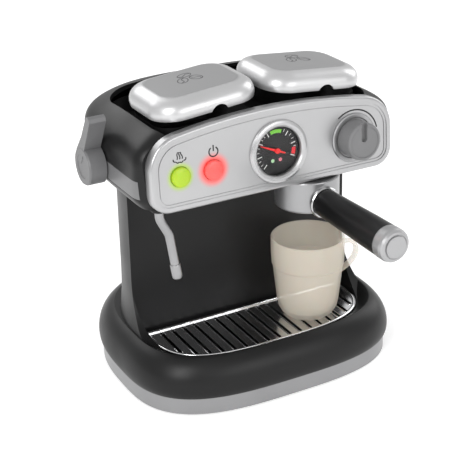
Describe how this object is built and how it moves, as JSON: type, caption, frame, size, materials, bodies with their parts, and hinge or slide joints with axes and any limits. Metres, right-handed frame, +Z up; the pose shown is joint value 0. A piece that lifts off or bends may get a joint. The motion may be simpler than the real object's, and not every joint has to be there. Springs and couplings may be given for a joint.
{
  "type": "toy coffee maker",
  "caption": "Toy espresso machine with opening lids, a turning knob, push buttons, a side lever, a twist-in filter holder, a swinging steam wand, a lift-out drip tray and a cup.",
  "frame": {"origin": "middle of the foot, on the floor the rubber feet stand on", "axes": "+Z up, the fascia and handle face -Y, +X is to the right of somebody facing the fascia"},
  "size_m": [0.2455, 0.2719, 0.2529],
  "materials": {
    "plinth_band": "silver paint on moulded plastic",
    "base_plate": "satin moulded plastic",
    "rubber_feet": "matt",
    "base_screws": "zinc plated",
    "battery_box": "satin moulded plastic",
    "battery_cells": "plain wrap",
    "battery_contacts": "sprung strip",
    "battery_door": "satin moulded plastic",
    "door_screw": "zinc plated",
    "body_shell": "satin moulded plastic",
    "rear_cover": "satin moulded plastic",
    "rear_screws": "zinc plated",
    "drip_tray": "bright plated",
    "drip_pan": "satin moulded plastic",
    "belt_strip": "mid grey moulded plastic",
    "head_shell": "satin moulded plastic",
    "hopper_deck": "satin moulded plastic",
    "fascia_panel": "silver paint on moulded plastic",
    "gauge_bezel": "silver paint on moulded plastic",
    "gauge_dial": "satin moulded plastic",
    "gauge_lens": "clear",
    "gauge_pin": "zinc plated",
    "gauge_needle": "gloss",
    "knob_ring": "silver paint on moulded plastic",
    "selector_knob": "mid grey moulded plastic",
    "water_valve": "satin moulded plastic",
    "steam_button": "translucent, lit from behind",
    "steam_spring": "wire",
    "steam_lamp": "translucent, lit from behind",
    "power_button": "translucent, lit from behind",
    "power_spring": "wire",
    "power_lamp": "translucent, lit from behind",
    "circuit_board": "circuit board",
    "lid_left": "silver paint on moulded plastic",
    "hopper_left": "satin moulded plastic",
    "lid_pin_left": "zinc plated",
    "lid_right": "silver paint on moulded plastic",
    "hopper_right": "satin moulded plastic",
    "lid_pin_right": "zinc plated",
    "lever_arm": "mid grey moulded plastic",
    "lever_axle": "zinc plated",
    "lever_bush": "satin moulded plastic",
    "group_head": "bright plated",
    "portafilter_cup": "silver paint on moulded plastic",
    "filter_basket": "zinc plated",
    "handle_collar": "bright plated",
    "handle_grip": "satin moulded plastic",
    "handle_cap": "silver paint on moulded plastic",
    "wand_socket": "satin moulded plastic",
    "steam_wand": "bright plated",
    "wand_tip": "bright plated",
    "cup": "frosted translucent",
    "feed_tube": "soft tube",
    "outlet_tube": "soft tube",
    "outlet_spigot": "satin moulded plastic",
    "battery_lead": "matt"
  },
  "bodies": {
    "machine": {"plinth_band": "plinth_band", "base_plate": "base_plate", "rubber_feet": "rubber_feet", "base_screws": "base_screws", "battery_box": "battery_box", "battery_cells": "battery_cells", "battery_contacts": "battery_contacts", "battery_door": "battery_door", "door_screw": "door_screw", "body_shell": "body_shell", "rear_cover": "rear_cover", "rear_screws": "rear_screws", "belt_strip": "belt_strip", "head_shell": "head_shell", "hopper_deck": "hopper_deck", "fascia_panel": "fascia_panel", "gauge_bezel": "gauge_bezel", "gauge_dial": "gauge_dial", "gauge_lens": "gauge_lens", "gauge_pin": "gauge_pin", "knob_ring": "knob_ring", "water_valve": "water_valve", "steam_spring": "steam_spring", "steam_lamp": "steam_lamp", "power_spring": "power_spring", "power_lamp": "power_lamp", "circuit_board": "circuit_board", "hopper_left": "hopper_left", "lid_pin_left": "lid_pin_left", "hopper_right": "hopper_right", "lid_pin_right": "lid_pin_right", "lever_bush": "lever_bush", "group_head": "group_head", "wand_socket": "wand_socket", "feed_tube": "feed_tube", "outlet_tube": "outlet_tube", "outlet_spigot": "outlet_spigot", "battery_lead": "battery_lead"},
    "left_lid": {"lid_left": "lid_left"},
    "right_lid": {"lid_right": "lid_right"},
    "side_lever": {"lever_arm": "lever_arm", "lever_axle": "lever_axle"},
    "selector": {"selector_knob": "selector_knob"},
    "steam_key": {"steam_button": "steam_button"},
    "power_key": {"power_button": "power_button"},
    "needle": {"gauge_needle": "gauge_needle"},
    "portafilter": {"portafilter_cup": "portafilter_cup", "filter_basket": "filter_basket", "handle_collar": "handle_collar", "handle_grip": "handle_grip", "handle_cap": "handle_cap"},
    "wand": {"steam_wand": "steam_wand", "wand_tip": "wand_tip"},
    "tray": {"drip_tray": "drip_tray", "drip_pan": "drip_pan"},
    "beaker": {"cup": "cup"}
  },
  "joints": [
    {"name": "left_lid_hinge", "type": "hinge", "parent": "machine", "child": "left_lid", "pos_m": [-0.04653, 0.01755, 0.23749], "axis": [-0.9957, 0, -0.0924], "range_deg": [0, 78]},
    {"name": "right_lid_hinge", "type": "hinge", "parent": "machine", "child": "right_lid", "pos_m": [0.04653, 0.01755, 0.23749], "axis": [-0.9957, 0, 0.0924], "range_deg": [0, 78]},
    {"name": "lever_pull", "type": "hinge", "parent": "machine", "child": "side_lever", "pos_m": [-0.12, 0.008, 0.1865], "axis": [1, 0, 0], "range_deg": [-20, 60]},
    {"name": "knob_turn", "type": "hinge", "parent": "machine", "child": "selector", "pos_m": [0.07, -0.06919, 0.1957], "axis": [0, -0.9982, 0.0604], "range_deg": [-90, 45]},
    {"name": "steam_press", "type": "slide", "parent": "machine", "child": "steam_key", "axis": [0, 0.9982, -0.0604], "range_m": [0, 0.002], "stiffness_N_per_m": 250, "deforming": ["steam_spring"]},
    {"name": "power_press", "type": "slide", "parent": "machine", "child": "power_key", "axis": [0, 0.9982, -0.0604], "range_m": [0, 0.002], "stiffness_N_per_m": 250, "deforming": ["power_spring"]},
    {"name": "needle_swing", "type": "hinge", "parent": "machine", "child": "needle", "pos_m": [0.002, -0.06907, 0.1977], "axis": [0, -0.9982, 0.0604], "range_deg": [-150, 60]},
    {"name": "portafilter_twist", "type": "hinge", "parent": "machine", "child": "portafilter", "pos_m": [0.04, -0.048, 0.15], "axis": [0, 0, 1], "range_deg": [-40, 0]},
    {"name": "wand_swing", "type": "hinge", "parent": "machine", "child": "wand", "pos_m": [-0.093, -0.054, 0.168], "axis": [0, 0, 1], "range_deg": [-60, 60]},
    {"name": "tray_lift", "type": "slide", "parent": "machine", "child": "tray", "axis": [0, 0, 1], "range_m": [0, 0.014]},
    {"name": "cup_lift", "type": "slide", "parent": "tray", "child": "beaker", "axis": [0, 0, 1], "range_m": [0, 0.012]}
  ]
}
